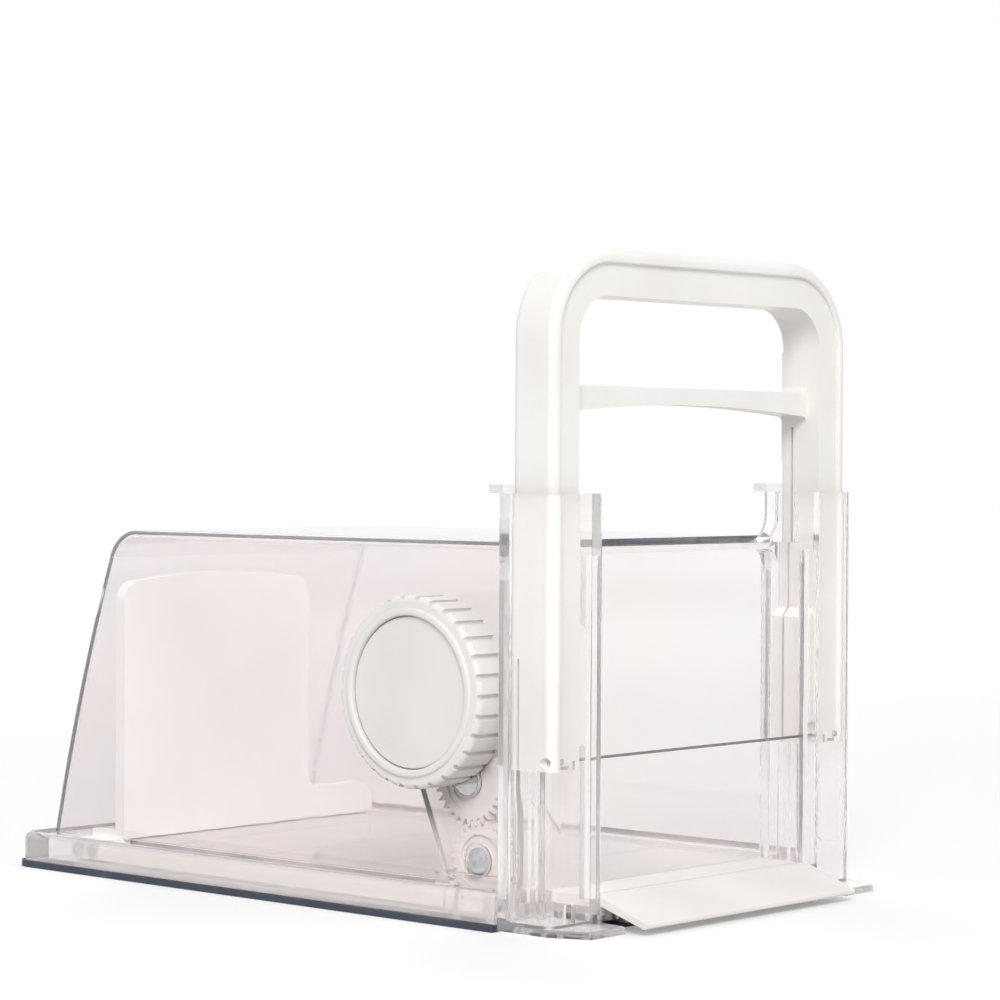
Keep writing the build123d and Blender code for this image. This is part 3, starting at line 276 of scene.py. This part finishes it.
# What isn't named here, the screws, pins and ferrules, is of plated steel
FINISH = {
    "foot_mat": RUBBER,
    "base_tray": TRAY_CLEAR,
    "guide_frame": CLEAR,
    "gear_housing": CLEAR,
    "gear_cover": CLEAR,
    "hood": HOOD_CLEAR,
    "cutting_board": BOARD_WHITE,
    "rack": BOARD_WHITE,
    "pusher_plate": PLATE_WHITE_PAINTED_LIGHT,
    "handle_frame": HANDLE_WHITE,
    "knob": KNOB_WHITE,
    "knob_cap": KNOB_WHITE,
    "lower_idler_gear": GEAR_WHITE,
    "upper_idler_gear": GEAR_WHITE,
    "drive_gear": GEAR_WHITE,
    "cutting_wire": WIRE_STEEL,
}
for name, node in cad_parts.items():
    node.data.materials.clear()
    node.data.materials.append(FINISH.get(name, STEEL))


# ---- Floor, light and camera -----------------------------------------------------
FLOOR_RADIUS = 6.0
FLOOR_GREY = 0.72
NEAR_GLOW = 0.26                         # floor's own light by the object, as seen
FAR_GLOW = 0.58                          # and far from it
GLOW_REACH = (0.2, 3.2)                  # distances from the origin between which it grows
STUDIO_LIGHT = 0.62                      # world's light on the object
LIT_POINT = (-0.05, 0.0, 0.08)           # point beside the knob's gears that both lamps face
CAMERA_PLACE = (0.544, -0.694, 0.128)
CAMERA_TURN = math.radians(41.8)
CAMERA_PITCH = math.radians(-0.74)
CAMERA_ROLL = math.radians(0.3)
CAMERA_LENS = 111.6                      # in mm, on a sensor 36 mm wide


def seen_directly(tree):
    """1 for rays that come straight from the camera, a reflection or a clear wall, and 0 for the rest."""
    ray = tree.node("ShaderNodeLightPath")
    camera, glossy, crossing, scatterings = (
        Value(tree, ray.outputs[kind])
        for kind in ("Is Camera Ray", "Is Glossy Ray", "Is Transmission Ray", "Diffuse Depth"))
    return camera.most(glossy).most(crossing) * (scatterings < 0.5)


def build_floor():
    """A pale round floor, white where it is seen, that keeps the object's shadow."""
    mesh = bpy.data.meshes.new("floor")
    shape = bmesh.new()
    bmesh.ops.create_circle(shape, cap_ends=True, segments=96, radius=FLOOR_RADIUS)
    shape.to_mesh(mesh)
    shape.free()
    floor = bpy.data.objects.new("floor", mesh)
    bpy.context.collection.objects.link(floor)
    # It glows least by the object, so that the shadow stays, and more further out, until it is white
    tree = Tree.material("floor")
    along, across, _ = tree.axes()
    distance = (along * along + across * across).root()
    glow = NEAR_GLOW + (FAR_GLOW - NEAR_GLOW) * distance.ramp(*GLOW_REACH)
    mesh.materials.append(tree.finish(
        Base_Color=grey(FLOOR_GREY),
        Roughness=0.9, Specular_IOR_Level=0.1,
        Emission_Color=tree.mix(seen_directly(tree) * glow, grey(0.0), grey(1.0)),
        Emission_Strength=1.0))


def build_world():
    """Plain soft light on the object, and white where it is seen."""
    tree = Tree(bpy.data.worlds.new("studio"))
    bpy.context.scene.world = tree.finish(
        Color=grey(1.0), Strength=STUDIO_LIGHT + (1.0 - STUDIO_LIGHT) * seen_directly(tree))


def add_lamp(name, place, size, power):
    """A square lamp that faces the object."""
    lamp = bpy.data.lights.new(name, "AREA")
    lamp.size = size
    lamp.energy = power
    holder = bpy.data.objects.new(name, lamp)
    holder.location = place
    holder.rotation_euler = (Vector(LIT_POINT) - Vector(place)).to_track_quat("-Z", "Y").to_euler()
    # Its light goes straight through clear walls, so the lamp isn't seen through them as well
    holder.visible_transmission = False
    bpy.context.collection.objects.link(holder)


def build_camera():
    """The main view: almost level, from the knob's side."""
    camera = bpy.data.cameras.new("camera")
    camera.sensor_width = 36.0
    camera.lens = CAMERA_LENS
    camera.clip_end = 30.0
    holder = bpy.data.objects.new("camera", camera)
    level = Matrix.Rotation(CAMERA_TURN, 4, "Z") @ Matrix.Rotation(math.pi / 2 + CAMERA_PITCH, 4, "X")
    holder.matrix_world = Matrix.Translation(CAMERA_PLACE) @ level @ Matrix.Rotation(CAMERA_ROLL, 4, "Z")
    bpy.context.collection.objects.link(holder)
    bpy.context.scene.camera = holder


build_floor()
build_world()
add_lamp("key", (1.15, -1.25, 1.35), size=0.9, power=27.0)
add_lamp("rim", (-1.2, 0.9, 1.1), size=0.8, power=5.0)
build_camera()
bpy.context.scene.view_settings.view_transform = "Standard"
# Clear walls one behind another need long light paths
paths = bpy.context.scene.cycles
paths.max_bounces = 28
paths.glossy_bounces = 20
paths.transmission_bounces = 24
paths.transparent_max_bounces = 24
